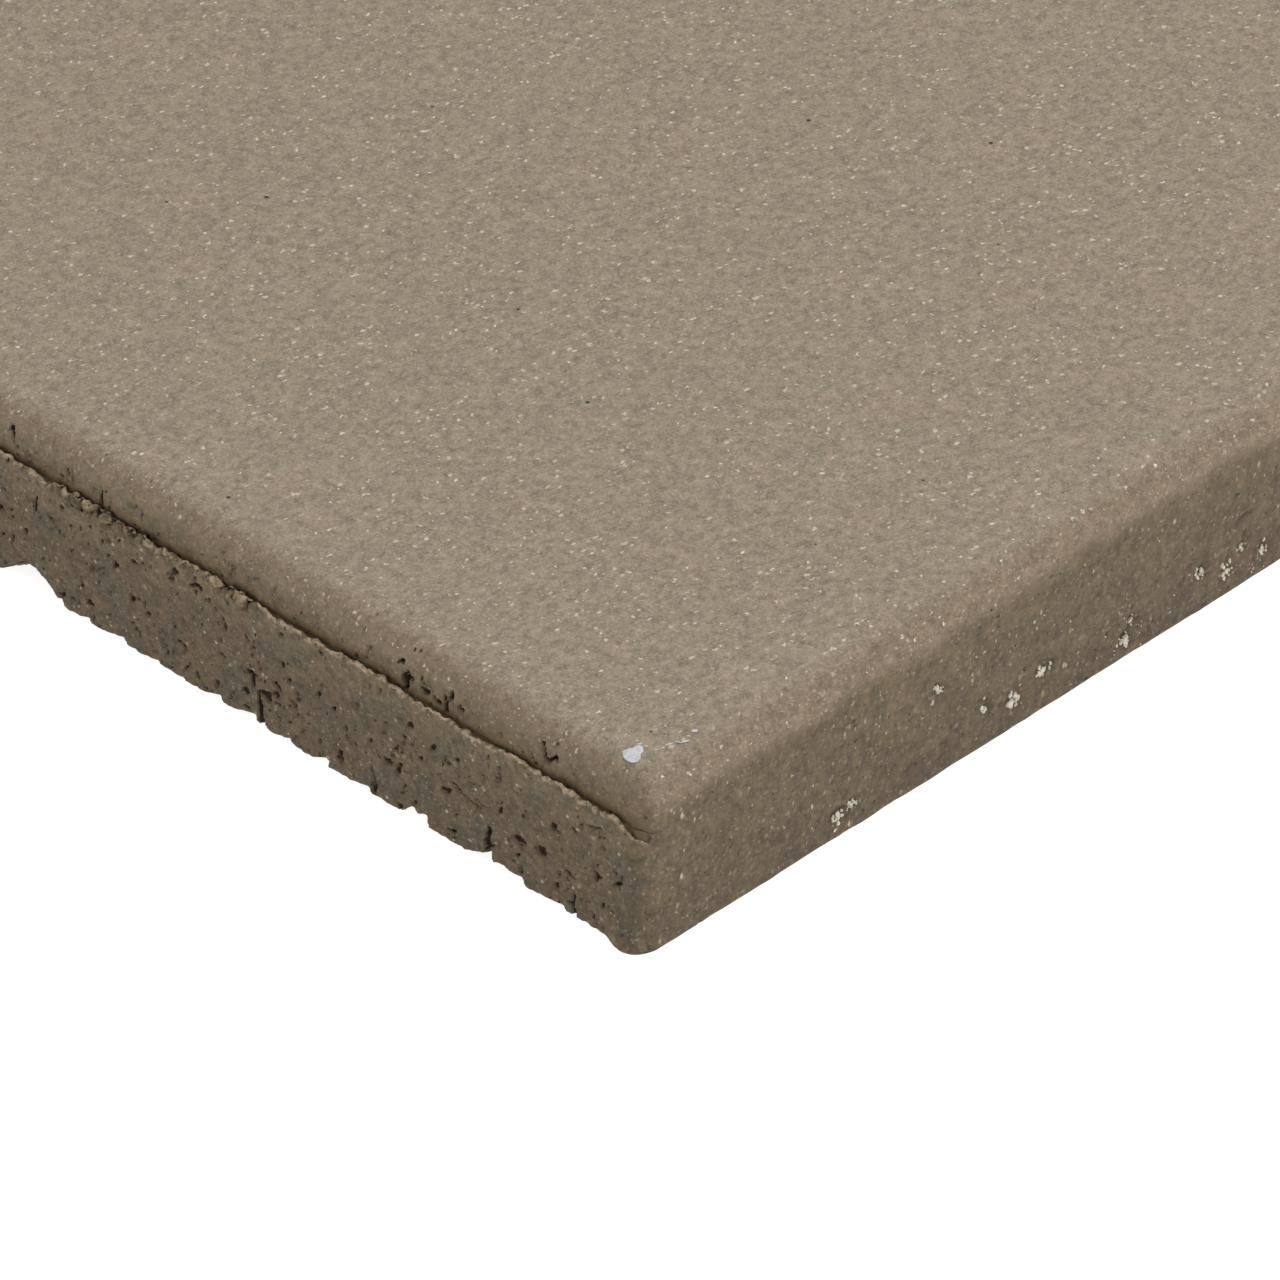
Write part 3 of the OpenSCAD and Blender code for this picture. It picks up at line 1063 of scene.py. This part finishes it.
faceChipValues = {
    "halfWidth": 2.35,
    "halfLength": 3.1,
    "thickness": 0.32,
    "lean": 0.79,
    "sunk": 0.26,
    "seed": 0.5,
    "sliverThickness": 0.1,
    "sliverSunk": 0.05,
}
# Small slivers round the chip in the wearing face: offset from it along X and Y, half-length, half-width
faceSlivers = [(3.6, 13.1, 0.7, 0.4), (3.1, 6.6, 0.9, 0.14), (3.7, 8.2, 0.7, 0.13), (4.6, 9.3, 0.8, 0.14),
               (-1.0, 2.6, 0.6, 0.25), (0.4, 3.0, 0.3, 0.2), (2.6, 3.6, 0.5, 0.12), (3.0, 5.0, 0.35, 0.12),
               (3.9, 11.0, 0.3, 0.15)]


def makeFaceChip(material):
    v = faceChipValues
    middle = (chipLow + chipHigh) / 2 / mm
    up, ahead = (0, 0, 1), (1, 0, 0)

    def onFace(x, y, sunk):
        swell = float(topSwell(np.array([[x, y, slab["top"]]]))[0])
        return (x, y, slab["top"] - faceValues["sink"] + swell - sunk)

    shards = [shard(onFace(middle.x, middle.y, v["sunk"]), up, ahead, v["halfWidth"], v["halfLength"],
                    v["thickness"], v["lean"], v["seed"])]
    for k, (dx, dy, halfLength, halfWidth) in enumerate(faceSlivers):
        place = onFace(middle.x + dx, middle.y + dy, v["sliverSunk"])
        lean = 0.9 + 0.5 * math.sin(k * 2.3)
        shards.append(shard(place, up, ahead, halfLength, halfWidth, v["sliverThickness"], lean, k * 4.0))
    return joinShards("white_face_chip", shards, material)


def layer(name, made, material):
    skin, attributes, mapping = made
    return buildLayer(name, skin, attributes, material, mapping)


core = layer("core_slab", makeCore(), slabMaterial("core_concrete"))
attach(core, "root")
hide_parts("core_layer")

face = layer("wearing_face_slab", makeFace(), slabMaterial("face_concrete"))
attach(face, "root")
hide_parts("face_layer")

paleStone = chipMaterial("pale_side_stone", colour(202, 197, 180), colour(142, 134, 114), 0.6)
sideChipPiece = makeSideChips(paleStone)
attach(sideChipPiece, "root")
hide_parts("core_chips")

whiteStone = chipMaterial("white_face_stone", colour(207, 207, 211), colour(186, 184, 184), 0.35)
faceChipPiece = makeFaceChip(whiteStone)
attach(faceChipPiece, "root")
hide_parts("face_chip")
print("chips set")

studioValues = {
    "floorSize": 40.0,
    "floorDepth": 0.0002,  # below the bed, so that the two don't touch
    "floorColour": (0.5, 0.5, 0.5, 1.0),
    "floorGlow": 0.85,
    "keyPower": 15.0,
    "keySize": 1.6,
    "keyDistance": 2.2,
    "keyTurn": 25.0,  # degrees round the slab from +X towards +Y
    "keyHeight": 57.0,  # degrees above the floor
    "horizon": 1.0,
    "zenith": 0.75,
    "fallFrom": 0.03,  # heights on the sky that its light falls between
    "fallTo": 0.15,
}


def makeFloor():
    v = studioValues
    half, z = v["floorSize"] / 2, -v["floorDepth"]
    mesh = bpy.data.meshes.new("studio_floor")
    corners = [(-half, -half, z), (half, -half, z), (half, half, z), (-half, half, z)]
    mesh.from_pydata(corners, [], [(0, 1, 2, 3)])
    floor = bpy.data.objects.new("studio_floor", mesh)
    bpy.context.scene.collection.objects.link(floor)
    mesh.materials.append(Nodes("pale_floor").finish({
        "Base Color": v["floorColour"], "Roughness": 0.9, "Specular IOR Level": 0.1,
        "Emission Color": (1, 1, 1, 1), "Emission Strength": v["floorGlow"]}))


def makeLights():
    v = studioValues
    light = bpy.data.lights.new("key_softbox", "AREA")
    light.shape = "SQUARE"
    light.size = v["keySize"]
    light.energy = v["keyPower"]
    key = bpy.data.objects.new("key_softbox", light)
    turn, height = math.radians(v["keyTurn"]), math.radians(v["keyHeight"])
    aim = Vector((math.cos(turn) * math.cos(height), math.sin(turn) * math.cos(height), math.sin(height)))
    key.location = aim * v["keyDistance"]
    key.rotation_euler = aim.to_track_quat("Z", "Y").to_euler()
    bpy.context.scene.collection.objects.link(key)

    world = bpy.data.worlds.new("studio_world")
    world.use_nodes = True
    tree = world.node_tree
    background = tree.nodes["Background"]
    coords = tree.nodes.new("ShaderNodeTexCoord")
    upward = tree.nodes.new("ShaderNodeSeparateXYZ")
    fall = tree.nodes.new("ShaderNodeMapRange")
    fall.interpolation_type = "SMOOTHSTEP"
    for k, setting in enumerate(("fallFrom", "fallTo", "horizon", "zenith")):
        fall.inputs[k + 1].default_value = v[setting]
    tree.links.new(coords.outputs["Generated"], upward.inputs[0])
    tree.links.new(upward.outputs[2], fall.inputs[0])
    tree.links.new(fall.outputs[0], background.inputs[1])
    background.inputs[0].default_value = (1, 1, 1, 1)
    bpy.context.scene.world = world
    bpy.context.scene.view_settings.view_transform = "Standard"


cameraValues = {
    "turn": 44.44,  # degrees
    "height": 36.06,
    "roll": 0.09,
    "lens": 257.7,
    "distance": 1756.6,  # from the near lower corner, in mm
    "right": -0.84,
    "up": 61.2,
}


def makeCamera():
    v = cameraValues
    turn, height, roll = (math.radians(v[k]) for k in ("turn", "height", "roll"))
    back = Vector((math.sin(turn) * math.cos(height), -math.cos(turn) * math.cos(height), math.sin(height)))
    right = Vector((math.cos(turn), math.sin(turn), 0))
    up = back.cross(right)
    right, up = right * math.cos(roll) + up * math.sin(roll), up * math.cos(roll) - right * math.sin(roll)
    corner = Vector((slab["halfX"], -slab["halfY"], 0))
    data = bpy.data.cameras.new("camera")
    data.sensor_width = 36
    data.lens = v["lens"]
    data.clip_start = 0.01
    data.clip_end = 100
    camera = bpy.data.objects.new("camera", data)
    place = (corner + right * v["right"] + up * v["up"] + back * v["distance"]) * mm
    camera.matrix_world = Matrix.Translation(place) @ Matrix((right, up, back)).transposed().to_4x4()
    bpy.context.scene.collection.objects.link(camera)
    bpy.context.scene.camera = camera


makeFloor()
makeLights()
makeCamera()
print("studio and camera ready")
